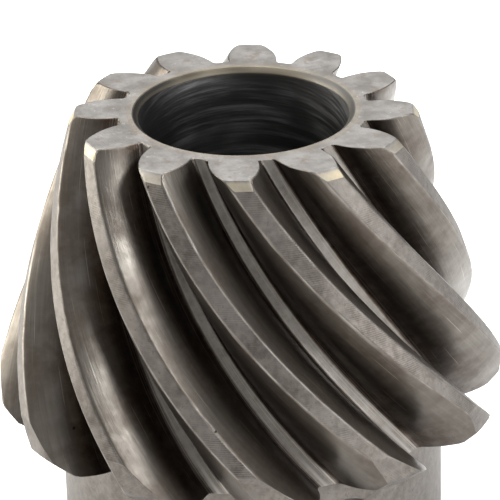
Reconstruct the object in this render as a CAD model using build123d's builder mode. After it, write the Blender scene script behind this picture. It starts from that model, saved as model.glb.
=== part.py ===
from build123d import *

import os
from math import atan, cos, degrees, radians, sin

# Spiral bevel pinion: one turned and cut steel blank with a bored hub, and its set screw.
#
# The blank is a cone with its small end (the toe) up. Twelve left-hand spiral teeth run down it
# to the large end (the heel), and a plain cylindrical hub with one radial tapped hole stands
# below them.
#
# Frame: +Z along the bore, from the hub's end face towards the toe. The origin is the centre of
# the hub's end face. Units are millimetres and degrees.

# Blank. A drop is a distance below the toe face.
overall_length = 36.0
bore_radius = 8.0
bore_chamfer = 0.4
hub_radius = 15.0
hub_end_chamfer = 0.8
tip_radius_at_toe = 13.05
face_cone_slope = 0.317
toe_face_radius = 12.8
toe_chamfer_drop = 0.77

# Heel: a turned band round the tooth ends, a corner chamfer and a slightly coned back face
heel_radius = 19.65
band_top_drop = (heel_radius - tip_radius_at_toe) / face_cone_slope
band_bottom_drop = 23.2
heel_chamfer_radius = 18.65
heel_chamfer_drop = 24.15
back_face_drop = 24.65

# Teeth: tooth and root angles are measured round the axis, at the toe and at the heel
tooth_count = 12
root_radius_at_toe = 9.45
root_cone_slope = 0.25
first_tooth_angle = -92.5
spiral_degrees_per_mm = 2.95
root_half_angle_toe = 11.2
root_half_angle_heel = 11.4
tip_half_angle_toe = 3.7
tip_half_angle_heel = 2.0
flank_power = 1.8
root_fillet_toe = 0.35
root_fillet_heel = 0.7

# Tooth-space cutter: its run past the toe and the heel, and its rise above the tips
cutter_overrun = 2.4
cutter_stations = 9
cutter_rise = 0.16
flank_points = 6

# M6 socket set screw, and its tapped and countersunk hole through the hub's wall
screw_angle = -63.0
screw_height = 5.9
tapped_radius = 3.0
mouth_radius = 3.6
countersink_angle = 90.0
hole_depth = hub_radius - bore_radius / 2
screw_radius = 2.94
screw_length = 5.0
screw_tip_at_rest = 9.0
cup_outer_radius = 1.6
cup_inner_radius = 1.4
cup_depth = 0.8
socket_across_flats = 3.0
socket_depth = 2.0
screw_edge_chamfer = 0.4

os.makedirs("parts", exist_ok=True)

tooth_pitch = 360 / tooth_count
pitch_cone_slope = (face_cone_slope + root_cone_slope) / 2
pitch_cone_angle = degrees(atan(pitch_cone_slope))
screw_direction = Vector(1, 0, 0).rotate(Axis.Z, screw_angle)
screw_axis_plane = Plane(
    origin=(0, 0, screw_height), x_dir=screw_direction, z_dir=screw_direction.cross(Vector(0, 0, 1))
)
screw_mouth_plane = Plane(
    origin=screw_direction * hub_radius + Vector(0, 0, screw_height), z_dir=screw_direction
)


def blend(at_toe, at_heel, drop):
    """Linear change of a tooth measure from the toe to the heel."""
    return at_toe + (at_heel - at_toe) * drop / back_face_drop


def tip_radius(drop):
    """Radius of the face cone, a distance below the toe."""
    return tip_radius_at_toe + face_cone_slope * drop


def root_radius(drop):
    """Radius of the root cone, a distance below the toe."""
    return root_radius_at_toe + root_cone_slope * drop


def station_plane(drop):
    """Plane square to the pitch cone, through the middle of a tooth space.

    Its X runs round the cone, its Y points out of the cone and its Z runs down towards the heel.
    """
    radius = (tip_radius(drop) + root_radius(drop)) / 2
    half_depth = (tip_radius(drop) - root_radius(drop)) / 2
    tip_drop = drop - half_depth * cos(radians(pitch_cone_angle)) * sin(radians(pitch_cone_angle))
    turn = radians(first_tooth_angle + spiral_degrees_per_mm * tip_drop + tooth_pitch / 2)
    lean = radians(pitch_cone_angle)
    return Plane(
        origin=(radius * cos(turn), radius * sin(turn), overall_length - drop),
        x_dir=(-sin(turn), cos(turn), 0),
        z_dir=(sin(lean) * cos(turn), sin(lean) * sin(turn), -cos(lean)),
    )


def flank_point(drop, height):
    """Point on the right flank of a tooth space; height is 0 at the root and 1 at the tip."""
    root = root_radius(drop)
    tip = tip_radius(drop)
    radius = root + (tip - root) * height
    root_half = blend(root_half_angle_toe, root_half_angle_heel, drop)
    tip_half = blend(tip_half_angle_toe, tip_half_angle_heel, drop)
    tooth_half = root_half - (root_half - tip_half) * height**flank_power
    space_half = radians(tooth_pitch / 2 - tooth_half)
    pitch_radius = (root + tip) / 2
    lean = cos(radians(pitch_cone_angle))
    return (radius * sin(space_half), (radius * cos(space_half) - pitch_radius) * lean)


# One tooth space: sections square to the pitch cone, lofted along the spiral
with BuildPart() as tooth_space:
    for station in range(cutter_stations):
        drop = -cutter_overrun
        drop += (back_face_drop + 2 * cutter_overrun) * station / (cutter_stations - 1)
        heights = [(1 + cutter_rise) * step / flank_points for step in range(flank_points + 1)]
        right = [flank_point(drop, height) for height in heights]
        left = [(-x, y) for x, y in right]
        with BuildSketch(station_plane(drop)) as section:
            with BuildLine():
                Line(left[0], right[0])
                Spline(*right)
                Line(right[-1], left[-1])
                Spline(*reversed(left))
            make_face()
            root_corners = section.vertices().sort_by(Axis.Y)[:2]
            fillet(root_corners, blend(root_fillet_toe, root_fillet_heel, drop))
    loft()


# The pinion: a turned blank with a bore, twelve tooth spaces cut from it, and the screw hole
with BuildPart() as pinion:
    with BuildSketch(Plane.XZ):
        with BuildLine():
            Polyline(
                (bore_radius + bore_chamfer, 0),
                (hub_radius - hub_end_chamfer, 0),
                (hub_radius, hub_end_chamfer),
                (hub_radius, overall_length - back_face_drop),
                (heel_chamfer_radius, overall_length - heel_chamfer_drop),
                (heel_radius, overall_length - band_bottom_drop),
                (heel_radius, overall_length - band_top_drop),
                (tip_radius(toe_chamfer_drop), overall_length - toe_chamfer_drop),
                (toe_face_radius, overall_length),
                (bore_radius + bore_chamfer, overall_length),
                (bore_radius, overall_length - bore_chamfer),
                (bore_radius, bore_chamfer),
                close=True,
            )
        make_face()
    revolve(axis=Axis.Z)
    with PolarLocations(0, tooth_count):
        add(tooth_space.part, mode=Mode.SUBTRACT)
    with Locations(screw_mouth_plane):
        CounterSinkHole(tapped_radius, mouth_radius, hole_depth, countersink_angle)
pinion.part.label = "pinion"


# Socket set screw: a cup point towards the bore, a hexagon socket towards the outside
screw_outer_end = screw_tip_at_rest + screw_length
with BuildPart() as set_screw:
    with BuildSketch(screw_axis_plane):
        with BuildLine():
            Polyline(
                (screw_tip_at_rest + cup_depth, 0),
                (screw_tip_at_rest, cup_inner_radius),
                (screw_tip_at_rest, cup_outer_radius),
                (screw_tip_at_rest + screw_radius - cup_outer_radius, screw_radius),
                (screw_outer_end - screw_edge_chamfer, screw_radius),
                (screw_outer_end, screw_radius - screw_edge_chamfer),
                (screw_outer_end, 0),
                close=True,
            )
        make_face()
    revolve(axis=Axis(screw_axis_plane.origin, screw_axis_plane.x_dir))
    with BuildSketch(screw_mouth_plane.offset(screw_outer_end - hub_radius)):
        RegularPolygon(socket_across_flats / 2, 6, major_radius=False)
    extrude(amount=-socket_depth, mode=Mode.SUBTRACT)
set_screw.part.label = "set_screw"


for piece in (pinion, set_screw):
    export_step(piece.part, f"parts/{piece.part.label}.step")
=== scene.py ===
"""Spiral bevel pinion and its set screw, in photographic quality on a plain pale floor."""

from math import atan, cos, pi, radians, sin

import bpy
import numpy as np
from mathutils import Matrix, Vector


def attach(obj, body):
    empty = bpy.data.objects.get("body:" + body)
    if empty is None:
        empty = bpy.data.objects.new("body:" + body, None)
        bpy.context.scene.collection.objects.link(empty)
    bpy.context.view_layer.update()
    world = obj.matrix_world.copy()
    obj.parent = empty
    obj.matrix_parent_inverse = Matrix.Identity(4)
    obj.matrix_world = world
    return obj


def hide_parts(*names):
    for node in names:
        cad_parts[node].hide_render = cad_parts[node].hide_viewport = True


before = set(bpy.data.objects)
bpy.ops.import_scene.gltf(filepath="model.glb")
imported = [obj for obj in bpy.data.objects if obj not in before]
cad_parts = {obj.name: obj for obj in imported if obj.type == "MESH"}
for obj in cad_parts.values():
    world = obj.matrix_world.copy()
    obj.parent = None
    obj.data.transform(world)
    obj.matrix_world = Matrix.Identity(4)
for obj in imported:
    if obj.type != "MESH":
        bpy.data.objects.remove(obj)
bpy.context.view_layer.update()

# ----------------------------------------------------------------------
# Dimensions of the CAD part, in millimetres. A drop is a distance below the toe face.
# ----------------------------------------------------------------------

MM = 0.001
LENGTH = 36.0
BORE_R = 8.0
BORE_CHAMFER = 0.4
HUB_R = 15.0
HUB_END_CHAMFER = 0.8

TIP_R_TOE = 13.05
FACE_SLOPE = 0.317
ROOT_R_TOE = 9.45
ROOT_SLOPE = 0.25
TOE_FACE_R = 12.8
TOE_CHAMFER_DROP = 0.77
HEEL_R = 19.65
BAND_BOTTOM_DROP = 23.2
HEEL_CHAMFER_R = 18.65
HEEL_CHAMFER_DROP = 24.15
BACK_FACE_DROP = 24.65

TEETH = 12
PITCH_ANGLE = 2 * pi / TEETH
FIRST_TOOTH = radians(-92.5)
SPIRAL_PER_MM = radians(2.95)
ROOT_HALF_ANGLE = (11.2, 11.4)
TIP_HALF_ANGLE = (3.7, 2.0)
FLANK_POWER = 1.8
ROOT_FILLET = (0.35, 0.7)
CONE_LEAN = atan((FACE_SLOPE + ROOT_SLOPE) / 2)
BACK_FACE_Z = LENGTH - BACK_FACE_DROP

SCREW_ANGLE = radians(-63.0)
SCREW_HEIGHT = 5.9
TAPPED_R = 3.0
MOUTH_R = 3.6
SCREW_R = 2.94
SCREW_TIP = 9.0
SCREW_END = 14.0
SOCKET_FLATS = 3.0
SOCKET_DEPTH = 2.0
THREAD_PITCH = 1.0

# How far edges are broken, and the depth of their nicks
TIP_EDGE = 0.13
END_EDGE = 0.07
HUB_FILLET = 0.3
TURNED_EDGE = 0.08
CREASE = 0.05
EDGE_DENT = 0.09

# Grid of the pinion's mesh: columns round one tooth, rows along it
ROOT_LAND_STEPS = 2
FILLET_STEPS = 3
FLANK_SHARES = [step / 12 for step in range(12)] + [0.975, 1.0]
EDGE_STEPS = 2
TIP_LAND_SHARES = [0.0, 0.06, 0.5, 0.94, 1.0]
TOOTH_SHARES = np.concatenate([[0, 0.003], np.linspace(0.012, 0.988, 76), [0.997, 1]])
TOOTH_ROWS = len(TOOTH_SHARES)
STATIONS = 500
PAST_ENDS = 2.4

# A root fillet's reach in its own radii, and tooth heights from 0 at the root to 1 at the tip
FILLET_UP_FLANK = 1.1
FILLET_OVER_LAND = 0.8
FILLET_HEIGHT = 0.03
FLANK_HEIGHT = 0.06
FLANK_RISE = 0.92

# Rows of an end face between its creases and its inner circle
CAP_SHARES = (0.35, 0.7, 1.0)


def between(pair, drop):
    """Linear change of a tooth measure from the toe to the heel."""
    return pair[0] + (pair[1] - pair[0]) * drop / BACK_FACE_DROP


def tip_radius(drop):
    return TIP_R_TOE + FACE_SLOPE * drop


def root_radius(drop):
    return ROOT_R_TOE + ROOT_SLOPE * drop


# The blank's turned outline at the two ends of the teeth, as (radius, drop), from the tips inwards
TOE_PROFILE = [
    (tip_radius(TOE_CHAMFER_DROP), TOE_CHAMFER_DROP),
    (TOE_FACE_R, 0.0),
    (BORE_R + BORE_CHAMFER + TURNED_EDGE, 0.0),
]
BACK_SLOPE = (BACK_FACE_DROP - HEEL_CHAMFER_DROP) / (HEEL_CHAMFER_R - HUB_R)
HEEL_PROFILE = [
    (HEEL_R, (HEEL_R - TIP_R_TOE) / FACE_SLOPE),
    (HEEL_R, BAND_BOTTOM_DROP),
    (HEEL_CHAMFER_R, HEEL_CHAMFER_DROP),
    (HUB_R + HUB_FILLET, BACK_FACE_DROP - HUB_FILLET * BACK_SLOPE),
]

# ----------------------------------------------------------------------
# Tooth columns: lines of points that run from past the toe to past the heel
# ----------------------------------------------------------------------


def space_to_row(drop, x, y):
    """Section coordinates of a tooth space (x round, y outward) to the row's frame."""
    tip, root = tip_radius(drop), root_radius(drop)
    tip_drop = drop - (tip - root) / 2 * cos(CONE_LEAN) * sin(CONE_LEAN)
    turn = FIRST_TOOTH + SPIRAL_PER_MM * tip_drop + PITCH_ANGLE / 2
    out = (tip + root) / 2 + y * cos(CONE_LEAN)
    z = LENGTH - drop + y * sin(CONE_LEAN)
    return np.stack(
        [out * np.cos(turn) - x * np.sin(turn), out * np.sin(turn) + x * np.cos(turn), z], axis=-1
    )


def flank(drop, side, height):
    """Flank of a tooth space; side is 1 or -1, height is 0 at the root and 1 at the tip."""
    tip, root = tip_radius(drop), root_radius(drop)
    radius = root + (tip - root) * height
    root_half = np.radians(between(ROOT_HALF_ANGLE, drop))
    tip_half = np.radians(between(TIP_HALF_ANGLE, drop))
    tooth_half = root_half - (root_half - tip_half) * height**FLANK_POWER
    half = PITCH_ANGLE / 2 - tooth_half
    y = (radius * np.cos(half) - (root + tip) / 2) * cos(CONE_LEAN)
    return space_to_row(drop, side * radius * np.sin(half), y)


def turned(points, angle):
    """Points turned about the bore axis."""
    x, y, z = points[..., 0], points[..., 1], points[..., 2]
    return np.stack([x * cos(angle) - y * sin(angle), x * sin(angle) + y * cos(angle), z], axis=-1)


def bend(start, corner, end, steps):
    """The curve that rounds a corner, without its two ends."""
    shares = [step / steps for step in range(1, steps)]
    return [(1 - t) ** 2 * start + 2 * t * (1 - t) * corner + t**2 * end for t in shares]


def half_space(drop, side):
    """Columns from the middle of the root land to the tip edge, with their heights and kinds."""
    tip, root = tip_radius(drop), root_radius(drop)
    fillet = between(ROOT_FILLET, drop)
    low = FILLET_UP_FLANK * fillet / (tip - root)
    high = 1 - TIP_EDGE / (tip - root)
    corner = flank(drop, side, 0 * drop)
    middle = (flank(drop, 1, 0 * drop) + flank(drop, -1, 0 * drop)) / 2
    width = np.linalg.norm(corner - middle, axis=1)
    land_end = middle + (corner - middle) * ((width - FILLET_OVER_LAND * fillet) / width)[:, None]
    columns = []
    for step in range(ROOT_LAND_STEPS + 1):
        columns.append((middle + (land_end - middle) * step / ROOT_LAND_STEPS, 0.0, "root"))
    for point in bend(land_end, corner, flank(drop, side, low), FILLET_STEPS):
        columns.append((point, FILLET_HEIGHT, "flank"))
    for share in FLANK_SHARES:
        point = flank(drop, side, low + (high - low) * share)
        columns.append((point, FLANK_HEIGHT + FLANK_RISE * share, "flank"))
    return columns


def on_face_cone(points):
    """Points moved in or out onto the face cone."""
    radius = np.hypot(points[:, 0], points[:, 1])
    scale = tip_radius(LENGTH - points[:, 2]) / radius
    return np.stack([points[:, 0] * scale, points[:, 1] * scale, points[:, 2]], axis=-1)


def tooth_columns(drop):
    """One period of columns, from a root land over the next tooth to the next root land."""
    rising = half_space(drop, 1)
    falling = [(turned(p, PITCH_ANGLE), h, kind) for p, h, kind in half_space(drop, -1)][::-1]
    near = on_face_cone(flank(drop, 1, 1 + 0 * drop))
    far = on_face_cone(turned(flank(drop, -1, 1 + 0 * drop), PITCH_ANGLE))
    edge = (TIP_EDGE / np.linalg.norm(far - near, axis=1))[:, None]
    start, end = near + (far - near) * edge, far + (near - far) * edge
    columns = list(rising)
    for point in bend(rising[-1][0], near, start, EDGE_STEPS):
        columns.append((point, 1.0, "edge"))
    for share in TIP_LAND_SHARES:
        point = on_face_cone(start + (end - start) * share)
        columns.append((point, 1.0, "tip"))
    for point in bend(end, far, falling[0][0], EDGE_STEPS):
        columns.append((point, 1.0, "edge"))
    return columns + falling[:-1]


def outside(points, profile):
    """How far points are outside a convex run of the blank's profile, in millimetres."""
    radius = np.hypot(points[..., 0], points[..., 1])
    drop = LENGTH - points[..., 2]
    distances = []
    for (r1, d1), (r2, d2) in zip(profile, profile[1:]):
        size = np.hypot(r2 - r1, d2 - d1)
        distances.append(((radius - r1) * (d2 - d1) - (drop - d1) * (r2 - r1)) / size)
    return np.max(distances, axis=0)


def at_places(points, places):
    """Points of each column at fractional sample places."""
    low = np.clip(np.floor(places).astype(int), 0, points.shape[1] - 2)
    share = (places - low)[..., None]
    rows = np.arange(points.shape[0])[:, None]
    return points[rows, low] * (1 - share) + points[rows, low + 1] * share


def trimmed_teeth(columns):
    """Columns cut to the blank's end surfaces: outline at the toe, rows, outline at the heel."""
    points = np.stack([column[0] for column in columns])
    count = np.arange(len(columns))
    toe = outside(points, TOE_PROFILE[::-1])
    last = STATIONS - 1 - np.argmax(toe[:, ::-1] > 0, axis=1)
    start = last + toe[count, last] / (toe[count, last] - toe[count, last + 1])
    heel = outside(points, HEEL_PROFILE)
    first = np.argmax(heel > 0, axis=1)
    end = first - heel[count, first] / (heel[count, first] - heel[count, first - 1])
    station = np.linalg.norm(points[:, 1:] - points[:, :-1], axis=2).mean(axis=1)
    inset = END_EDGE / station
    places = (start + inset)[:, None] + (end - start - 2 * inset)[:, None] * TOOTH_SHARES
    rows = at_places(points, places)
    toe_line = at_places(points, start[:, None])[:, 0]
    heel_line = at_places(points, end[:, None])[:, 0]
    return toe_line, rows, heel_line


# ----------------------------------------------------------------------
# End faces: rows from a tooth outline in to a circle, over the blank's turned end profile
# ----------------------------------------------------------------------


def profile_lengths(profile):
    """Distance along a profile to each of its points."""
    steps = [np.hypot(b[0] - a[0], b[1] - a[1]) for a, b in zip(profile, profile[1:])]
    return np.concatenate([[0], np.cumsum(steps)])


def along_profile(points, profile):
    """Distance along a profile to the place nearest each point."""
    radius, drop = np.hypot(points[:, 0], points[:, 1]), LENGTH - points[:, 2]
    lengths = profile_lengths(profile)
    best = np.full(len(points), np.inf)
    result = np.zeros(len(points))
    for (r1, d1), (r2, d2), base in zip(profile, profile[1:], lengths):
        size = np.hypot(r2 - r1, d2 - d1)
        share = ((radius - r1) * (r2 - r1) + (drop - d1) * (d2 - d1)) / size**2
        share = np.clip(share, 0, 1)
        miss = np.hypot(radius - r1 - share * (r2 - r1), drop - d1 - share * (d2 - d1))
        result = np.where(miss < best, base + share * size, result)
        best = np.minimum(best, miss)
    return result


def spiral_turn(length, profile):
    """How far the teeth's spiral has turned at a distance along a profile."""
    return SPIRAL_PER_MM * np.interp(length, profile_lengths(profile), [p[1] for p in profile])


def on_profile(length, angle, profile):
    """Points in space from a distance along a profile and an angle round the axis."""
    lengths = profile_lengths(profile)
    radius = np.interp(length, lengths, [p[0] for p in profile])
    drop = np.interp(length, lengths, [p[1] for p in profile])
    return np.stack([radius * np.cos(angle), radius * np.sin(angle), LENGTH - drop], axis=-1)


def angles_near(points, reference):
    """Angles round the axis, without a jump next to the reference angle."""
    angle = np.arctan2(points[:, 1], points[:, 0])
    return reference + (angle - reference + pi) % (2 * pi) - pi


def end_face(outline, profile, inner_angles):
    """Rows of one period of an end face, from just inside the outline to the inner circle."""
    length = along_profile(outline, profile)
    angle = angles_near(outline, inner_angles.mean())
    radius = np.hypot(outline[:, 0], outline[:, 1])
    around = np.concatenate([[angle[-1] - PITCH_ANGLE], angle, [angle[0] + PITCH_ANGLE]])
    along = np.concatenate([[length[-1]], length, [length[0]]])
    side = (around[2:] - around[:-2]) * radius
    rise = along[2:] - along[:-2]
    size = np.hypot(side, rise)
    length = length + END_EDGE * side / size
    angle = angle - END_EDGE * rise / size / radius
    lengths = profile_lengths(profile)
    rows, at = [length], length
    for crease in lengths[1:-1]:
        for place in (crease - CREASE, crease, crease + CREASE):
            at = np.maximum(at + CREASE / 2, place)
            rows.append(at)
    rows += [at + (lengths[-1] - at) * share for share in CAP_SHARES]
    start = angle - spiral_turn(length, profile)
    change = inner_angles - spiral_turn(lengths[-1], profile) - start
    points = []
    for row in rows:
        share = (row - length) / (lengths[-1] - length)
        points.append(on_profile(row, start + change * share + spiral_turn(row, profile), profile))
    return points


# ----------------------------------------------------------------------
# Turned surfaces below and inside the teeth: rows of (radius, height), with rounded corners
# ----------------------------------------------------------------------


def turned_rows(corners, spacing):
    """Rows of (radius, height, wear) along a turned outline given as (radius, height, edge)."""
    rows = [(corners[0][0], corners[0][1], 0.0)]
    for number in range(1, len(corners)):
        here = np.array(corners[number][:2])
        before = np.array(corners[number - 1][:2])
        edge = corners[number][2]
        into = (here - before) / np.linalg.norm(here - before)
        start = here - into * edge
        last = np.array(rows[-1][:2])
        steps = max(1, round(np.linalg.norm(start - last) / spacing))
        for step in range(1, steps + 1):
            point = last + (start - last) * step / steps
            rows.append((point[0], point[1], 0.0))
        if number == len(corners) - 1:
            break
        after = np.array(corners[number + 1][:2])
        out = (after - here) / np.linalg.norm(after - here)
        for point in bend(start, here, here + out * edge, EDGE_STEPS) + [here + out * edge]:
            rows.append((point[0], point[1], 1.0 if edge < HUB_FILLET else 0.0))
    return rows


def with_window(rows, half_height):
    """Rows of a wall, with evenly spaced ones where the screw hole crosses it."""
    radius = rows[0][0]
    spacing = 2 * half_height / WINDOW_ROWS
    heights = [SCREW_HEIGHT - half_height + spacing * step for step in range(WINDOW_ROWS + 1)]
    if rows[0][1] > rows[-1][1]:
        heights = heights[::-1]
    low, high = min(heights) - spacing / 2, max(heights) + spacing / 2
    before, after = [], []
    for row in rows:
        if not low < row[1] < high:
            first_side = (row[1] > high) == (rows[0][1] > high)
            (before if first_side else after).append(row)
    return before, [(radius, height, 0.0) for height in heights], after


class Grid:
    """Vertices and faces of one mesh, with a wear, a tooth height and a UV at each vertex."""

    def __init__(self):
        self.points, self.values, self.faces, self.kinds = [], [], [], []
        self.count = 0

    def loop(self, points, wear=0.0, height=0.0, along=0.0, across=0.0):
        """Adds vertices and returns their numbers."""
        size = len(points)
        columns = [np.broadcast_to(value, size) for value in (wear, height, along, across)]
        self.points.append(np.asarray(points, dtype=float))
        self.values.append(np.stack(columns, axis=1))
        numbers = np.arange(self.count, self.count + size)
        self.count += size
        return numbers

    def band(self, upper, lower, kind, keep=None):
        """Faces between two loops of the same size, whole or only some columns."""
        size = len(upper)
        kinds = np.broadcast_to(kind, size)
        for column in range(size) if keep is None else keep:
            after = (column + 1) % size
            self.faces.append((upper[column], lower[column], lower[after], upper[after]))
            self.kinds.append(int(kinds[column]))

    def grow(self, last, kind, points, *values):
        """Adds a loop and joins it to the last one, or closes it where there is none."""
        current = self.loop(points, *values)
        if last is None:
            self.fill(current, kind)
        else:
            self.band(last, current, kind)
        return current

    def dent(self, depth):
        """Nicks of the worn edges outside the bore, towards the axis, in uneven waves."""
        for points, values in zip(self.points, self.values):
            x, y, z = points.T
            wave = np.sin(2.3 * x + 1.1 * z + 0.4) + np.sin(1.9 * y - 1.7 * z)
            wave += np.sin(3.7 * z + x - y)
            fine = np.sin(7.3 * x - 5.1 * z) * np.sin(6.1 * y + 4.3 * z + 1.0)
            radius = np.hypot(x, y)
            worn = (values[:, 0] > 0.99) & (radius > BORE_R + 2 * BORE_CHAMFER)
            nick = depth * np.clip(wave / 3 + 0.35 * fine - 0.25, 0, 1) * worn
            scale = 1 - nick / np.maximum(radius, BORE_R)
            points[:, 0] *= scale
            points[:, 1] *= scale

    def fill(self, loop, kind):
        """One face over a loop."""
        self.faces.append(tuple(loop))
        self.kinds.append(kind)

    def mesh(self, name):
        """The mesh of all faces, without unused vertices."""
        points, values = np.concatenate(self.points), np.concatenate(self.values)
        corners = np.concatenate([np.array(face) for face in self.faces])
        used, corners = np.unique(corners, return_inverse=True)
        starts = np.cumsum([0] + [len(face) for face in self.faces])
        faces = [corners[a:b].tolist() for a, b in zip(starts, starts[1:])]
        mesh = bpy.data.meshes.new(name)
        mesh.from_pydata((points[used] * MM).tolist(), [], faces)
        mesh.polygons.foreach_set("material_index", self.kinds)
        mesh.polygons.foreach_set("use_smooth", [True] * len(faces))
        for column, label in enumerate(("wear", "height")):
            layer = mesh.attributes.new(label, "FLOAT", "POINT")
            layer.data.foreach_set("value", values[used, column])
        uv = mesh.uv_layers.new(name="UVMap")
        uv.data.foreach_set("uv", values[used][corners, 2:4].ravel())
        mesh.update()
        return mesh


# ----------------------------------------------------------------------
# The pinion
# ----------------------------------------------------------------------

TURNED, FLANK, END, BORE, THREAD = range(5)
WINDOW_ROWS = 14
WINDOW_COLUMNS = 68
WALL_SPACING = 3.0
HUB_WINDOW = 4.5
BORE_WINDOW = 3.7
THREAD_DEPTH = 0.26
THREAD_STEEPNESS = 1.3
THREAD_FADE_IN = 12
THREAD_FADE_OUT = 10
THREAD_ROWS_PER_TURN = 8
WINDOW_SHARES = (0.3, 0.55, 0.75, 0.88, 0.96, 1.0)
COUNTERSINK_SHARES = (0.08, 0.5, 0.92, 1.0)
MOUTH_ROUNDS = 20

stations = np.linspace(-PAST_ENDS, BACK_FACE_DROP + PAST_ENDS, STATIONS)
columns = tooth_columns(stations)
per_tooth = len(columns)
total = per_tooth * TEETH
step_angle = 2 * pi / total
toe_line, tooth_rows, heel_line = trimmed_teeth(columns)
column_kinds = [kind for _, _, kind in columns]
column_heights = np.array([height for _, height, _ in columns])
column_edges = np.array([1.0 if kind == "edge" else 0.0 for kind in column_kinds])
column_faces = [TURNED if "tip" in pair and "flank" not in pair else FLANK
                for pair in zip(column_kinds, column_kinds[1:] + column_kinds[:1])]

middle_column = per_tooth // 2
across = np.linalg.norm(np.diff(tooth_rows[:, TOOTH_ROWS // 2], axis=0), axis=1)
across = np.concatenate([[0], np.cumsum(across)])
across = np.minimum(across, across[-1] - across)

spiral = SPIRAL_PER_MM * BACK_FACE_DROP
toe_middle = angles_near(toe_line[:1], FIRST_TOOTH)[0] + PITCH_ANGLE / 2
heel_middle = angles_near(heel_line[:1], FIRST_TOOTH + spiral)[0] + PITCH_ANGLE / 2
heel_shift = round((heel_middle - toe_middle) / step_angle)
heel_middle = toe_middle + heel_shift * step_angle
even = (np.arange(per_tooth) - middle_column) * step_angle
toe_caps = end_face(toe_line, TOE_PROFILE, toe_middle + even)
heel_caps = end_face(heel_line, HEEL_PROFILE, heel_middle + even)


def all_round(points):
    """One period's row repeated for every tooth."""
    return np.concatenate([turned(points, PITCH_ANGLE * tooth) for tooth in range(TEETH)])


def repeated(values):
    """One period's values repeated for every tooth."""
    return np.tile(values, TEETH)


grid = Grid()
tooth_faces = repeated(column_faces)
loops = [grid.loop(all_round(cap)) for cap in toe_caps[::-1]]
for upper, lower in zip(loops, loops[1:]):
    grid.band(upper, lower, END)

along = np.concatenate([[0], np.cumsum(
    np.linalg.norm(tooth_rows[0, 1:] - tooth_rows[0, :-1], axis=1))])
heights, places = repeated(column_heights), repeated(across)
last = loops[-1]
for row in bend(toe_caps[0], toe_line, tooth_rows[:, 0], EDGE_STEPS):
    last = grid.grow(last, tooth_faces, all_round(row), 1.0, heights, 0.0, places)
for number in range(TOOTH_ROWS):
    last = grid.grow(last, tooth_faces, all_round(tooth_rows[:, number]),
                     repeated(column_edges), heights, along[number], places)
for row in bend(tooth_rows[:, -1], heel_line, heel_caps[0], EDGE_STEPS):
    last = grid.grow(last, tooth_faces, all_round(row), 1.0, heights, along[-1], places)
for cap in heel_caps:
    last = grid.grow(last, TURNED, all_round(cap))

# Hub, end face and bore, down and back up to the toe
wall_angles = np.concatenate([heel_middle + even + PITCH_ANGLE * tooth for tooth in range(TEETH)])
hole_column = int(round((SCREW_ANGLE + 4 * pi - wall_angles[0]) / step_angle)) % total
window_start = hole_column - WINDOW_COLUMNS // 2
window = [(window_start + offset) % total for offset in range(WINDOW_COLUMNS)]
beside_window = [column for column in range(total) if column not in set(window)]


def circle(radius, height):
    """Points round the axis at a radius and height."""
    ring = [radius * np.cos(wall_angles), radius * np.sin(wall_angles), np.full(total, height)]
    return np.stack(ring, axis=1)


def wall(rows, kind, last):
    """Joins rows of (radius, height, wear) to the mesh and returns the last loop."""
    for radius, height, wear in rows:
        last = grid.grow(last, kind, circle(radius, height), wear)
    return last


def pierced_wall(rows, kind, last):
    """Joins rows round the window to the mesh; returns the last loop and the window's border."""
    made = [grid.loop(circle(radius, height), wear) for radius, height, wear in rows]
    grid.band(last, made[0], kind)
    for upper, lower in zip(made, made[1:]):
        grid.band(upper, lower, kind, beside_window)
    ends = window + [(window[-1] + 1) % total]
    top = [made[0][column] for column in ends]
    right = [row[ends[-1]] for row in made[1:]]
    bottom = [made[-1][column] for column in reversed(ends[:-1])]
    left = [row[ends[0]] for row in reversed(made[1:-1])]
    return made[-1], np.array(top + right + bottom + left)


outer = turned_rows([
    (HUB_R + HUB_FILLET, BACK_FACE_Z + HUB_FILLET * BACK_SLOPE, 0),
    (HUB_R, BACK_FACE_Z, HUB_FILLET),
    (HUB_R, HUB_END_CHAMFER, TURNED_EDGE),
    (HUB_R - HUB_END_CHAMFER, 0, TURNED_EDGE),
    (BORE_R + BORE_CHAMFER, 0, TURNED_EDGE),
    (BORE_R, BORE_CHAMFER, TURNED_EDGE),
    (BORE_R, LENGTH - BORE_CHAMFER, TURNED_EDGE),
    (BORE_R + BORE_CHAMFER, LENGTH, TURNED_EDGE),
    (BORE_R + BORE_CHAMFER + TURNED_EDGE, LENGTH, 0),
], WALL_SPACING)[1:]


def index_of(rows, radius, height, tolerance=1e-6):
    """The number of the row at a radius and height."""
    for number, row in enumerate(rows):
        if abs(row[0] - radius) < tolerance and abs(row[1] - height) < tolerance:
            return number
    raise ValueError("no such row")


hub_top = index_of(outer, HUB_R, BACK_FACE_Z - HUB_FILLET)
hub_bottom = index_of(outer, HUB_R, HUB_END_CHAMFER + TURNED_EDGE)
bore_bottom = index_of(outer, BORE_R, BORE_CHAMFER + TURNED_EDGE)
bore_top = index_of(outer, BORE_R, LENGTH - BORE_CHAMFER - TURNED_EDGE)

last = wall(outer[:hub_top], TURNED, last)
above, middle, below = with_window(outer[hub_top:hub_bottom + 1], HUB_WINDOW)
last = wall(above, TURNED, last)
last, hub_border = pierced_wall(middle, TURNED, last)
last = wall(below, TURNED, last)
last = wall(outer[hub_bottom + 1:bore_bottom], TURNED, last)
below, middle, above = with_window(outer[bore_bottom:bore_top + 1], BORE_WINDOW)
last = wall(below, BORE, last)
last, bore_border = pierced_wall(middle, BORE, last)
last = wall(above, BORE, last)
last = wall(outer[bore_top + 1:-1], BORE, last)
grid.band(last, np.roll(loops[0], -heel_shift), BORE)

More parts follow.
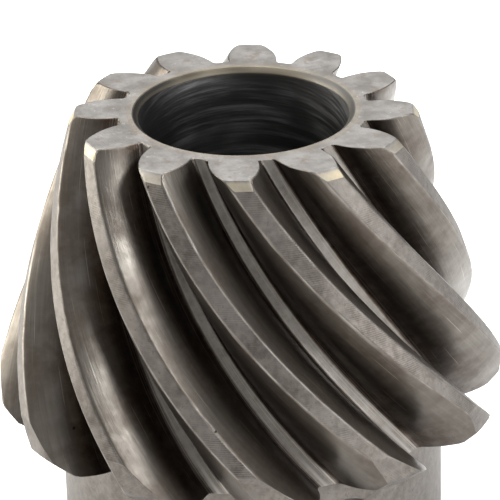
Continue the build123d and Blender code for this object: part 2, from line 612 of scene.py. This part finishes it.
# The screw hole: from the hub's window round the countersink, along the thread, to the bore's
screw_out = np.array([cos(SCREW_ANGLE), sin(SCREW_ANGLE), 0])
screw_side = np.array([-sin(SCREW_ANGLE), cos(SCREW_ANGLE), 0])
screw_origin = np.array([0, 0, SCREW_HEIGHT])


def hole_point(depth, side, rise):
    """Points from distances along and square to the screw's axis."""
    side, rise = np.asarray(side), np.asarray(rise)
    return (screw_origin + np.multiply.outer(depth + 0 * side, screw_out)
            + np.multiply.outer(side, screw_side) + np.multiply.outer(rise, [0, 0, 1]))


def border_angles(border):
    """Side and rise of a window's border about the screw's axis, and the angles round it."""
    points = np.concatenate(grid.points)[border]
    side = (points - screw_origin) @ screw_side
    rise = points[:, 2] - SCREW_HEIGHT
    return side, rise, np.unwrap(np.arctan2(rise, side))


def mouth_size(angle, radius, size, slope):
    """Distance from the screw's axis at which its hole or countersink meets a round wall."""
    reach = np.full(len(angle), float(size))
    for _ in range(MOUTH_ROUNDS):
        reach = size + slope * (np.sqrt(radius**2 - (reach * np.cos(angle)) ** 2) - radius)
    return reach


def window_rings(border, radius, reach, kind):
    """Rings on a wall from its window's border to the hole's edge; returns the last ring."""
    side, rise, angle = border_angles(border)
    ring = border
    for share in WINDOW_SHARES:
        sides = side + (reach * np.cos(angle) - side) * share
        rises = rise + (reach * np.sin(angle) - rise) * share
        points = hole_point(np.sqrt(radius**2 - sides**2), sides, rises)
        ring = grid.grow(ring, kind, points, 1.0 if share > 0.9 else 0.0)
    return ring


def thread_ring(last, depth, turn, reach, wear):
    """A ring of the hole's wall, joined to the last one."""
    points = hole_point(depth, reach * np.cos(turn), reach * np.sin(turn))
    return grid.grow(last, THREAD, points, wear)


_, _, hub_turn = border_angles(hub_border)
_, _, bore_turn = border_angles(bore_border)
window_size = len(hub_border)
facing_corner = 2 * WINDOW_COLUMNS + WINDOW_ROWS
clockwise = (facing_corner - np.arange(window_size)) % window_size
bore_turn = np.unwrap(bore_turn[clockwise])
hub_reach = mouth_size(hub_turn, HUB_R, MOUTH_R, 1)
bore_reach = mouth_size(bore_turn, BORE_R, TAPPED_R, 0)
mouth = window_rings(hub_border, HUB_R, hub_reach, TURNED)
inner_mouth = window_rings(bore_border, BORE_R, bore_reach[np.argsort(clockwise)], BORE)

mouth_depth = np.sqrt(HUB_R**2 - (hub_reach * np.cos(hub_turn)) ** 2)
inner_depth = np.sqrt(BORE_R**2 - (bore_reach * np.cos(bore_turn)) ** 2)
thread_start = HUB_R - (MOUTH_R - TAPPED_R)
ring = mouth
for share in COUNTERSINK_SHARES:
    reach = hub_reach + (TAPPED_R - hub_reach) * share
    depth = mouth_depth + (thread_start - mouth_depth) * share
    ring = thread_ring(ring, depth, hub_turn, reach, 1.0 - share)
thread_rows = int((thread_start - BORE_R) / THREAD_PITCH * THREAD_ROWS_PER_TURN)
for number in range(1, thread_rows):
    share = number / thread_rows
    turn = hub_turn + (bore_turn - hub_turn) * share
    depth = thread_start + (inner_depth - thread_start) * share
    phase = (depth / THREAD_PITCH - turn / (2 * pi)) % 1.0
    fade = min(1.0, THREAD_FADE_IN * share, THREAD_FADE_OUT * (1 - share))
    groove = np.clip(THREAD_STEEPNESS * (1 - np.abs(2 * phase - 1)), 0, 1)
    reach = TAPPED_R + THREAD_DEPTH * fade * groove
    ring = thread_ring(ring, depth, turn, reach, 0.5 * (reach < TAPPED_R + 0.02))
grid.band(ring, inner_mouth[clockwise], THREAD)


def placed(shape, name):
    """The object of a finished mesh, in the scene."""
    piece = bpy.data.objects.new(name, shape.mesh(name))
    bpy.context.scene.collection.objects.link(piece)
    piece.modifiers.new("Even shading", "WEIGHTED_NORMAL").keep_sharp = True
    return piece


grid.dent(EDGE_DENT)
pinion = placed(grid, "pinion_gear")

# ----------------------------------------------------------------------
# The set screw
# ----------------------------------------------------------------------

SCREW_COLUMNS = 96
SCREW_ROOT_R = 2.45
SCREW_POINT_R = 1.6
CUP_R = 1.4
CUP_DEPTH = 0.8
SCREW_END_CHAMFER = 0.4
SCREW_THREAD_STEEPNESS = 1.15
SOCKET_EDGE = 0.12
SOCKET_CORNER = 0.05
SOCKET_DRILL_POINT = 0.25
CENTRE_R = 0.04

screw = Grid()
around = np.arange(SCREW_COLUMNS) * 2 * pi / SCREW_COLUMNS


def screw_ring(last, depth, reach, wear):
    """A ring of the screw's mesh at a place along its axis, joined to the last one."""
    points = hole_point(depth, -reach * np.cos(around), reach * np.sin(around))
    return screw.grow(last, 0, points, wear, 0.0, depth, around * SCREW_R)


sixth = pi / 3
hexagon = SOCKET_FLATS / 2 / np.cos((around + sixth / 2) % sixth - sixth / 2)
hexagon = np.minimum(hexagon, SOCKET_FLATS / 2 / cos(sixth / 2) - SOCKET_CORNER)
point_rows = [(SCREW_TIP + CUP_DEPTH - 0.02, CENTRE_R, 0.0), (SCREW_TIP + 0.4, 0.75, 0.0),
              (SCREW_TIP + 0.06, CUP_R - 0.08, 0.3), (SCREW_TIP, CUP_R + 0.02, 1.0),
              (SCREW_TIP, SCREW_POINT_R - 0.03, 1.0)]
ring = None
for depth, reach, wear in point_rows:
    ring = screw_ring(ring, depth, reach + 0 * around, wear)
screw_length = SCREW_END - SCREW_TIP
screw_rows = int(screw_length / THREAD_PITCH * THREAD_ROWS_PER_TURN)
for number in range(1, screw_rows):
    depth = SCREW_TIP + screw_length * number / screw_rows
    phase = (depth / THREAD_PITCH + around / (2 * pi)) % 1.0
    rise = np.clip(SCREW_THREAD_STEEPNESS * np.abs(2 * phase - 1), 0, 1)
    reach = SCREW_ROOT_R + (SCREW_R - SCREW_ROOT_R) * rise
    reach = np.minimum(reach, SCREW_POINT_R + depth - SCREW_TIP)
    reach = np.minimum(reach, SCREW_R - SCREW_END_CHAMFER + SCREW_END - depth)
    ring = screw_ring(ring, depth, reach, np.clip(2 * rise - 1, 0, 1))
end_face_r = SCREW_R - SCREW_END_CHAMFER + 0 * around
socket_floor = SCREW_END - SOCKET_DEPTH
socket_rows = [
    (SCREW_END, end_face_r - 0.02, 1.0),
    (SCREW_END, end_face_r - 0.1, 0.2),
    (SCREW_END, hexagon + SOCKET_EDGE + 0.08, 0.1),
    (SCREW_END, hexagon + SOCKET_EDGE, 0.8),
    (SCREW_END - 0.03, hexagon + SOCKET_EDGE / 2, 1.0),
    (SCREW_END - SOCKET_EDGE, hexagon, 0.6),
    (SCREW_END - SOCKET_EDGE - 0.08, hexagon, 0.0),
    (socket_floor + SOCKET_CORNER, hexagon, 0.0),
    (socket_floor, hexagon - SOCKET_CORNER, 0.0),
    (socket_floor, 0.9 * hexagon, 0.0),
    (socket_floor - SOCKET_DRILL_POINT, CENTRE_R + 0 * around, 0.0),
]
for depth, reach, wear in socket_rows:
    ring = screw_ring(ring, depth, reach, wear)
screw.fill(ring[::-1], 0)
set_screw = placed(screw, "socket_set_screw")

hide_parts("pinion")
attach(pinion, "pinion_body")
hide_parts("set_screw")
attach(set_screw, "screw_body")

# ----------------------------------------------------------------------
# Materials
# ----------------------------------------------------------------------

# Linear colours of the surfaces
LATHE_DARK = (0.080, 0.070, 0.062)
LATHE_PALE = (0.142, 0.129, 0.118)
GROOVE = (0.045, 0.037, 0.031)
LATHE_MOTTLE = (0.21, 0.19, 0.172)
SMALL_PITS = (0.07, 0.06, 0.052)
LATHE_WORN = (0.30, 0.285, 0.27)
LATHE_DENT = (0.03, 0.022, 0.018)
# Dark flank colours, for oil blotches and for the painted shade towards the tooth roots
OIL_AND_SHADE_DARK = (0.025, 0.0162, 0.0118)
OIL_AND_SHADE_BROWN = (0.050, 0.035, 0.026)
MILLED_DARK = (0.102, 0.090, 0.076)
MILLED_PALE = (0.139, 0.126, 0.111)
MILLED_MOTTLE = (0.165, 0.147, 0.13)
SCRATCH = (0.34, 0.31, 0.27)
ROOT_PALE = (0.235, 0.22, 0.20)
ROOT_LINE = (0.30, 0.28, 0.26)
MILLED_WORN = (0.32, 0.30, 0.28)
MILLED_DENT = (0.02, 0.015, 0.012)
GROUND_DARK = (0.160, 0.151, 0.143)
GROUND_PALE = (0.258, 0.249, 0.241)
STAIN = (0.17, 0.138, 0.11)
# Painted gold reflection on the toe chamfer
CHAMFER_REFLECTION_TAN = (0.44, 0.375, 0.25)
BORE_RING = (0.24, 0.20, 0.145)
GROUND_SPECK = (0.52, 0.50, 0.48)
GROUND_WORN = (0.52, 0.50, 0.47)
BORE_DARK = (0.130, 0.127, 0.126)
# Painted reflection streaks in the bore
BORE_REFLECTION_STREAK = (0.50, 0.50, 0.505)
BORE_MARK = (0.42, 0.41, 0.40)
RIM_BROWN = (0.052, 0.045, 0.034)
RIM_TAN = (0.125, 0.110, 0.086)
RIM_GREY = (0.105, 0.100, 0.095)
RIM_SHADE = (0.034, 0.031, 0.028)
RIM_WORN = (0.16, 0.14, 0.11)
THREAD_DARK = (0.055, 0.048, 0.042)
THREAD_PALE = (0.14, 0.125, 0.11)
THREAD_CREST = (0.36, 0.34, 0.32)
OXIDE_DARK = (0.018, 0.018, 0.020)
OXIDE_PALE = (0.045, 0.044, 0.045)
BARE_STEEL = (0.26, 0.25, 0.24)
PAPER_DARK = (0.92, 0.92, 0.92)
PAPER_PALE = (0.94, 0.94, 0.94)


class Nodes:
    """Shorthand for building one node material."""

    def __init__(self, name):
        self.material = bpy.data.materials.new(name)
        self.material.use_nodes = True
        self.tree = self.material.node_tree
        self.tree.nodes.clear()
        self.coordinates = self.add("ShaderNodeTexCoord")
        self.shader = self.add("ShaderNodeBsdfPrincipled")
        output = self.add("ShaderNodeOutputMaterial")
        self.tree.links.new(self.shader.outputs["BSDF"], output.inputs["Surface"])

    def add(self, kind, **settings):
        node = self.tree.nodes.new(kind)
        for key, value in settings.items():
            setattr(node, key, value)
        return node

    def plug(self, value, socket):
        """Links a node's output, or sets a number, on an input."""
        if isinstance(value, bpy.types.NodeSocket):
            self.tree.links.new(value, socket)
        else:
            socket.default_value = value

    def math(self, operation, a, b=0.0, clamp=False):
        node = self.add("ShaderNodeMath", operation=operation, use_clamp=clamp)
        self.plug(a, node.inputs[0])
        self.plug(b, node.inputs[1])
        return node.outputs[0]

    def plus(self, a, b):
        return self.math("ADD", a, b)

    def times(self, a, b):
        return self.math("MULTIPLY", a, b)

    def remap(self, value, low, high, to_low=0.0, to_high=1.0):
        """Smooth change of a value over a range."""
        node = self.add("ShaderNodeMapRange", interpolation_type="SMOOTHSTEP")
        self.plug(value, node.inputs["Value"])
        for key, number in (("From Min", low), ("From Max", high),
                            ("To Min", to_low), ("To Max", to_high)):
            node.inputs[key].default_value = number
        return node.outputs["Result"]

    def attribute(self, name):
        return self.add("ShaderNodeAttribute", attribute_name=name).outputs["Fac"]

    def place(self):
        return self.coordinates.outputs["Object"]

    def millimetres(self):
        """Position on the part in millimetres: as a vector, then its x, y and z."""
        scale = self.add("ShaderNodeVectorMath", operation="SCALE")
        self.plug(self.place(), scale.inputs[0])
        scale.inputs["Scale"].default_value = 1 / MM
        split = self.add("ShaderNodeSeparateXYZ")
        self.plug(scale.outputs[0], split.inputs[0])
        return scale.outputs[0], split.outputs[0], split.outputs[1], split.outputs[2]

    def noise(self, vector, scale, detail=3.0, roughness=0.55, distortion=0.0):
        node = self.add("ShaderNodeTexNoise")
        self.plug(vector, node.inputs["Vector"])
        for key, number in (("Scale", scale), ("Detail", detail),
                            ("Roughness", roughness), ("Distortion", distortion)):
            node.inputs[key].default_value = number
        return node.outputs["Fac"]

    def joined(self, x, y, z=0.0):
        node = self.add("ShaderNodeCombineXYZ")
        for value, socket in zip((x, y, z), node.inputs):
            self.plug(value, socket)
        return node.outputs[0]

    def mix(self, factor, first, second):
        """A colour between two colours."""
        node = self.add("ShaderNodeMix", data_type="RGBA")
        self.plug(factor, node.inputs[0])
        for value, socket in ((first, node.inputs[6]), (second, node.inputs[7])):
            self.plug(value if isinstance(value, bpy.types.NodeSocket) else (*value, 1.0), socket)
        return node.outputs[2]

    def radius(self, x, y):
        return self.math("SQRT", self.plus(self.times(x, x), self.times(y, y)))

    def pits(self, place):
        """Sparse small dents: 1 inside a dent."""
        cells = self.add("ShaderNodeTexVoronoi")
        ragged = self.add("ShaderNodeVectorMath", operation="ADD")
        self.plug(place, ragged.inputs[0])
        self.plug(self.times(self.noise(place, 4.0, 2.0), 0.25), ragged.inputs[1])
        self.plug(ragged.outputs[0], cells.inputs["Vector"])
        cells.inputs["Scale"].default_value = 0.45
        pick = self.add("ShaderNodeSeparateXYZ")
        self.plug(cells.outputs["Color"], pick.inputs[0])
        size = self.remap(pick.outputs[0], 0.6, 1.0, 0.0, 0.05)
        return self.math("GREATER_THAN", size, cells.outputs["Distance"])

    def bump(self, height, strength, distance):
        node = self.add("ShaderNodeBump")
        node.inputs["Strength"].default_value = strength
        node.inputs["Distance"].default_value = distance * MM
        self.plug(height, node.inputs["Height"])
        return node.outputs["Normal"]

    def finish(self, color, roughness, normal, metallic=1.0):
        self.plug(color, self.shader.inputs["Base Color"])
        self.plug(roughness, self.shader.inputs["Roughness"])
        self.plug(normal, self.shader.inputs["Normal"])
        self.shader.inputs["Metallic"].default_value = metallic
        return self.material


def turning_marks(nodes, position, place, feed):
    """Tool grooves across a coordinate, with uneven depth from groove to groove."""
    wander = nodes.times(nodes.math("SUBTRACT", nodes.noise(place, 0.25), 0.5), 0.6 * feed)
    at = nodes.plus(position, wander)
    wave = nodes.math("SINE", nodes.times(at, 2 * pi / feed))
    uneven = nodes.noise(nodes.joined(0.0, 0.0, at), 0.9 / feed, 2.0)
    return nodes.plus(nodes.times(wave, 0.5), uneven)


def turned_steel():
    """Tip lands, heel band, chamfer, back and hub: lathe-turned, dull grey brown."""
    nodes = Nodes("turned steel")
    place, x, y, z = nodes.millimetres()
    reach = nodes.radius(x, y)
    position = nodes.plus(z, nodes.times(reach, 0.6))
    marks = turning_marks(nodes, position, place, 0.125)
    blotch = nodes.noise(place, 0.35, 4.0, 0.6)
    on_teeth = nodes.remap(z, BACK_FACE_Z - 0.5, BACK_FACE_Z + 0.5, 0.25, 1.0)
    rough_patch = nodes.times(on_teeth,
                              nodes.remap(nodes.noise(place, 0.2, 3.0, 0.7), 0.40, 0.66))
    fine = nodes.noise(place, 3.2, 3.0, 0.6)
    wear = nodes.attribute("wear")
    worn = nodes.times(wear, nodes.remap(nodes.noise(place, 0.45, 3.0), 0.3, 0.75))
    color = nodes.mix(nodes.remap(blotch, 0.3, 0.7), LATHE_DARK, LATHE_PALE)
    groove = nodes.times(nodes.remap(marks, 0.15, 0.85, 1.0, 0.0), rough_patch)
    color = nodes.mix(nodes.times(groove, 0.62), color, GROOVE)
    mottle = nodes.noise(place, 1.5, 5.0, 0.7)
    color = nodes.mix(nodes.remap(mottle, 0.35, 0.7, 0.0, 0.4), color, LATHE_MOTTLE)
    pits = nodes.remap(fine, 0.28, 0.40, 0.6, 0.0)
    color = nodes.mix(pits, color, SMALL_PITS)
    color = nodes.mix(nodes.remap(worn, 0.1, 0.9, 0.0, 0.36), color, LATHE_WORN)
    color = nodes.mix(nodes.pits(place), color, LATHE_DENT)
    roughness = nodes.remap(blotch, 0.25, 0.75, 0.46, 0.60)
    relief = nodes.plus(nodes.times(marks, nodes.remap(rough_patch, 0.0, 1.0, 0.1, 0.7)),
                        nodes.times(mottle, 1.6))
    normal = nodes.bump(relief, 0.35, 0.03)
    return nodes.finish(color, roughness, normal)


def cut_steel():
    """Flanks and root lands: milled along the tooth, dark with oil and with painted shade towards
    the root, paler where rubbed.
    """
    nodes = Nodes("cut flank steel")
    place, x, y, z = nodes.millimetres()
    split = nodes.add("ShaderNodeSeparateXYZ")
    nodes.plug(nodes.coordinates.outputs["UV"], split.inputs[0])
    along, up = split.outputs[0], split.outputs[1]
    streak_place = nodes.joined(nodes.times(along, 0.22), nodes.times(up, 3.2),
                                nodes.times(x, 0.05))
    streaks = nodes.noise(streak_place, 1.0, 4.0, 0.65)
    fine_place = nodes.joined(nodes.times(along, 0.5), nodes.times(up, 11.0), nodes.times(y, 0.1))
    fine = nodes.noise(fine_place, 1.0, 3.0, 0.6)
    blotch = nodes.noise(place, 0.22, 3.0, 0.55, 0.6)
    height = nodes.attribute("height")
    wear = nodes.attribute("wear")
    # Painted shade: the flanks darken towards the root of each tooth space, on top of the oil
    # blotches.
    root_shade = nodes.remap(height, 0.0, 0.75, 1.0, 0.0)
    dark = nodes.mix(nodes.remap(blotch, 0.35, 0.65), OIL_AND_SHADE_DARK, OIL_AND_SHADE_BROWN)
    pale = nodes.mix(nodes.remap(streaks, 0.2, 0.8), MILLED_DARK, MILLED_PALE)
    oil_and_root_shade = nodes.math("ADD", nodes.times(root_shade, 0.78),
                      nodes.remap(blotch, 0.35, 0.65, 0.0, 0.55), clamp=True)
    color = nodes.mix(oil_and_root_shade, pale, dark)
    mottle = nodes.noise(place, 0.9, 5.0, 0.65)
    color = nodes.mix(nodes.remap(mottle, 0.38, 0.7, 0.0, 0.28), color, MILLED_MOTTLE)
    scratch_place = nodes.joined(nodes.times(along, 0.45), nodes.times(up, 24.0),
                                 nodes.times(z, 0.1))
    scratch = nodes.remap(nodes.noise(scratch_place, 0.35, 2.0, 0.5, 0.4), 0.66, 0.74, 0.0, 0.45)
    color = nodes.mix(scratch, color, SCRATCH)
    root = nodes.times(nodes.remap(height, 0.0, 0.02, 1.0, 0.0),
                       nodes.remap(nodes.noise(place, 1.6, 5.0, 0.65), 0.3, 0.7, 0.45, 0.85))
    color = nodes.mix(root, color, ROOT_PALE)
    line_place = nodes.joined(nodes.times(along, 0.05), nodes.times(up, 6.0))
    lines = nodes.times(nodes.remap(nodes.noise(line_place, 1.0, 3.0, 0.6), 0.48, 0.66),
                        nodes.remap(up, 0.3, 1.7, 0.75, 0.0))
    color = nodes.mix(lines, color, ROOT_LINE)
    worn = nodes.times(wear, nodes.remap(nodes.noise(place, 0.45, 3.0), 0.3, 0.75))
    color = nodes.mix(nodes.remap(worn, 0.1, 0.9, 0.0, 0.34), color, MILLED_WORN)
    color = nodes.mix(nodes.pits(place), color, MILLED_DENT)
    roughness = nodes.plus(nodes.remap(blotch, 0.3, 0.7, 0.25, 0.35), nodes.times(streaks, 0.08))
    roughness = nodes.plus(roughness, nodes.remap(mottle, 0.3, 0.7, 0.05, 0.0))
    roughness = nodes.plus(roughness, nodes.times(root, 0.35))
    relief = nodes.plus(nodes.times(streaks, 0.8), nodes.times(fine, 0.4))
    relief = nodes.plus(relief, nodes.times(mottle, 0.8))
    normal = nodes.bump(relief, 0.35, 0.04)
    return nodes.finish(color, roughness, normal)


def end_steel():
    """Toe face: faced and ground, light grey with brown storage stains, and a painted gold
    reflection on its chamfer.
    """
    nodes = Nodes("ground end steel")
    place, x, y, z = nodes.millimetres()
    reach = nodes.radius(x, y)
    marks = turning_marks(nodes, reach, place, 0.22)
    blotch = nodes.noise(place, 0.5, 4.0, 0.6)
    fine = nodes.noise(place, 2.6, 4.0, 0.65)
    stain = nodes.remap(nodes.noise(place, 0.8, 4.0, 0.7), 0.52, 0.7, 0.0, 0.7)
    wear = nodes.attribute("wear")
    color = nodes.mix(nodes.remap(blotch, 0.3, 0.7), GROUND_DARK, GROUND_PALE)
    color = nodes.mix(stain, color, STAIN)
    # Painted reflection: a gold-tan colour laid over the toe chamfer in large patches.
    painted_chamfer_reflection = nodes.times(nodes.remap(z, LENGTH - 0.25, LENGTH - 0.05, 1.0, 0.0),
                       nodes.remap(nodes.noise(place, 0.11, 1.0), 0.4, 0.6, 0.2, 0.85))
    color = nodes.mix(painted_chamfer_reflection, color, CHAMFER_REFLECTION_TAN)
    color = nodes.mix(nodes.remap(reach, BORE_R + 0.5, BORE_R + 1.3, 0.35, 0.0), color, BORE_RING)
    color = nodes.mix(nodes.remap(fine, 0.6, 0.75, 0.0, 0.4), color, GROUND_SPECK)
    color = nodes.mix(nodes.remap(wear, 0.4, 1.0, 0.0, 0.8), color, GROUND_WORN)
    roughness = nodes.remap(fine, 0.25, 0.75, 0.50, 0.66)
    normal = nodes.bump(nodes.plus(nodes.times(marks, 0.5), fine), 0.3, 0.02)
    return nodes.finish(color, roughness, normal)


def bore_steel():
    """Bore: reamed smooth, dark inside, with fine marks round it and painted reflection streaks.
    """
    nodes = Nodes("bored steel")
    place, x, y, z = nodes.millimetres()
    marks = turning_marks(nodes, z, place, 0.3)
    lean = nodes.plus(nodes.times(z, 1.9), nodes.times(y, -0.45))
    smear_place = nodes.joined(nodes.times(x, 0.11), nodes.times(y, 0.11), lean)
    smear = nodes.noise(smear_place, 1.0, 5.0, 0.7)
    wear = nodes.attribute("wear")
    patch = nodes.remap(nodes.noise(place, 0.16, 2.0), 0.4, 0.62)
    # Painted reflection: bright streaks in the bore's colour along the smear noise, in large
    # patches.
    bright = nodes.times(nodes.remap(smear, 0.4, 0.8), patch)
    color = nodes.mix(bright, BORE_DARK, BORE_REFLECTION_STREAK)
    color = nodes.mix(nodes.remap(marks, 0.6, 1.3, 0.0, 0.12), color, BORE_MARK)
    rim = nodes.remap(z, LENGTH - BORE_CHAMFER - 0.2, LENGTH - BORE_CHAMFER, 0.0, 1.0)
    # Bore chamfer: brown and tan in patches, greyer towards +x, and painted shade towards -x.
    rim_colour_and_side_shade = nodes.mix(nodes.remap(nodes.noise(place, 0.13, 2.0), 0.4, 0.6), RIM_BROWN, RIM_TAN)
    rim_colour_and_side_shade = nodes.mix(nodes.remap(x, 3.0, 6.5), rim_colour_and_side_shade, RIM_GREY)
    rim_colour_and_side_shade = nodes.mix(nodes.remap(x, -6.8, -4.0, 1.0, 0.0), rim_colour_and_side_shade, RIM_SHADE)
    color = nodes.mix(rim, color, rim_colour_and_side_shade)
    color = nodes.mix(nodes.remap(wear, 0.3, 1.0, 0.0, 0.4), color, RIM_WORN)
    roughness = nodes.plus(nodes.remap(smear, 0.25, 0.75, 0.34, 0.46), nodes.times(rim, 0.12))
    normal = nodes.bump(nodes.plus(marks, smear), 0.10, 0.012)
    return nodes.finish(color, roughness, normal)


def thread_steel():
    """Tapped hole: dark, a little oily, with bright crests."""
    nodes = Nodes("tapped steel")
    place = nodes.millimetres()[0]
    grime = nodes.noise(place, 1.2, 4.0, 0.6)
    wear = nodes.attribute("wear")
    color = nodes.mix(nodes.remap(grime, 0.3, 0.7), THREAD_DARK, THREAD_PALE)
    color = nodes.mix(nodes.remap(wear, 0.1, 0.9, 0.0, 0.8), color, THREAD_CREST)
    roughness = nodes.remap(grime, 0.3, 0.7, 0.30, 0.45)
    return nodes.finish(color, roughness, nodes.bump(grime, 0.3, 0.03))


def black_oxide():
    """Set screw: blacked steel, worn to bare metal on its crests and corners."""
    nodes = Nodes("black oxide screw")
    place = nodes.millimetres()[0]
    mottle = nodes.noise(place, 2.5, 4.0, 0.6)
    wear = nodes.attribute("wear")
    color = nodes.mix(nodes.remap(mottle, 0.3, 0.7), OXIDE_DARK, OXIDE_PALE)
    rubbed = nodes.times(wear, nodes.remap(mottle, 0.35, 0.6, 0.1, 1.0))
    color = nodes.mix(nodes.remap(rubbed, 0.5, 1.0, 0.0, 0.7), color, BARE_STEEL)
    roughness = nodes.remap(mottle, 0.3, 0.7, 0.34, 0.5)
    return nodes.finish(color, roughness, nodes.bump(mottle, 0.25, 0.02))


for make in (turned_steel, cut_steel, end_steel, bore_steel, thread_steel):
    pinion.data.materials.append(make())
set_screw.data.materials.append(black_oxide())

# ----------------------------------------------------------------------
# Floor, light and camera
# ----------------------------------------------------------------------


FLOOR_HALF = 5.0
FLOOR_DROP = 0.0002
FLOOR_GLOW = 0.28
floor_mesh = bpy.data.meshes.new("floor")
floor_mesh.from_pydata([(-FLOOR_HALF, -FLOOR_HALF, 0), (FLOOR_HALF, -FLOOR_HALF, 0),
                        (FLOOR_HALF, FLOOR_HALF, 0), (-FLOOR_HALF, FLOOR_HALF, 0)],
                       [], [(0, 1, 2, 3)])
floor = bpy.data.objects.new("floor", floor_mesh)
floor.location = (0, 0, -FLOOR_DROP)
bpy.context.scene.collection.objects.link(floor)
paper = Nodes("floor")
paper.finish(
    paper.mix(paper.noise(paper.place(), 3.0), PAPER_DARK, PAPER_PALE),
    paper.remap(paper.noise(paper.place(), 8.0), 0.3, 0.7, 0.75, 0.85),
    paper.bump(paper.noise(paper.place(), 200.0), 0.05, 0.05), 0.0)
paper.shader.inputs["Emission Color"].default_value = (1.0, 1.0, 1.0, 1.0)
paper.shader.inputs["Emission Strength"].default_value = FLOOR_GLOW
floor_mesh.materials.append(paper.material)

# Soft boxes: name, place, size, power and colour; each faces the middle of the part
LIGHT_TARGET = Vector((0.0, 0.0, 0.018))
LIGHTS = [
    ("top box", (0.02, 0.16, 0.46), (0.50, 0.30), 3.6, (1.0, 1.0, 0.99)),
    ("key box", (0.243, -0.230, 0.390), (0.135, 0.09), 0.92, (0.95, 0.98, 1.0)),
    ("left box", (-0.42, 0.10, 0.16), (0.24, 0.34), 3.0, (0.99, 0.98, 0.91)),
    ("right box", (0.36, -0.16, 0.06), (0.20, 0.22), 1.3, (0.98, 0.99, 1.0)),
]
for name, place, size, power, color in LIGHTS:
    data = bpy.data.lights.new(name, "AREA")
    data.shape = "RECTANGLE"
    data.size, data.size_y = size
    data.energy = power
    data.color = color
    light = bpy.data.objects.new(name, data)
    light.location = place
    light.rotation_euler = (LIGHT_TARGET - Vector(place)).to_track_quat("-Z", "Y").to_euler()
    bpy.context.scene.collection.objects.link(light)

bpy.context.scene.view_settings.view_transform = "Standard"

# Studio room: pale above, dark below
ROOM_STRENGTH = 0.9
ROOM_SHADES = ((0.42, 0.05), (0.85, 0.80))
world = bpy.data.worlds.new("studio")
world.use_nodes = True
sky = world.node_tree
background = sky.nodes["Background"]
background.inputs["Strength"].default_value = ROOM_STRENGTH
room = sky.nodes.new("ShaderNodeTexCoord")
split_room = sky.nodes.new("ShaderNodeSeparateXYZ")
ramp = sky.nodes.new("ShaderNodeValToRGB")
for element, (position, shade) in zip(ramp.color_ramp.elements, ROOM_SHADES):
    element.position = position
    element.color = (shade, shade, shade, 1)
lift = sky.nodes.new("ShaderNodeMapRange")
lift.inputs["From Min"].default_value = -1.0
sky.links.new(room.outputs["Generated"], split_room.inputs[0])
sky.links.new(split_room.outputs["Z"], lift.inputs["Value"])
sky.links.new(lift.outputs["Result"], ramp.inputs["Fac"])
sky.links.new(ramp.outputs["Color"], background.inputs["Color"])
bpy.context.scene.world = world

CAMERA_PLACE = (0.0, -0.21904, 0.13150)
CAMERA_PITCH = radians(-26.114)
CAMERA_ROLL = radians(-1.537)
CAMERA_SIDE = 0.00084
CAMERA_LENS = 227.17
CAMERA_SENSOR = 36.0
camera_data = bpy.data.cameras.new("camera")
camera_data.lens = CAMERA_LENS
camera_data.sensor_width = CAMERA_SENSOR
camera = bpy.data.objects.new("camera", camera_data)
camera.location = CAMERA_PLACE
forward = Vector((CAMERA_SIDE, cos(CAMERA_PITCH), sin(CAMERA_PITCH))).normalized()
level = forward.cross(Vector((0, 0, 1))).normalized()
upright = level.cross(forward)
right = level * cos(CAMERA_ROLL) + upright * sin(CAMERA_ROLL)
up = right.cross(forward)
camera.rotation_euler = Matrix((right, up, -forward)).transposed().to_euler()
bpy.context.scene.collection.objects.link(camera)
bpy.context.scene.camera = camera
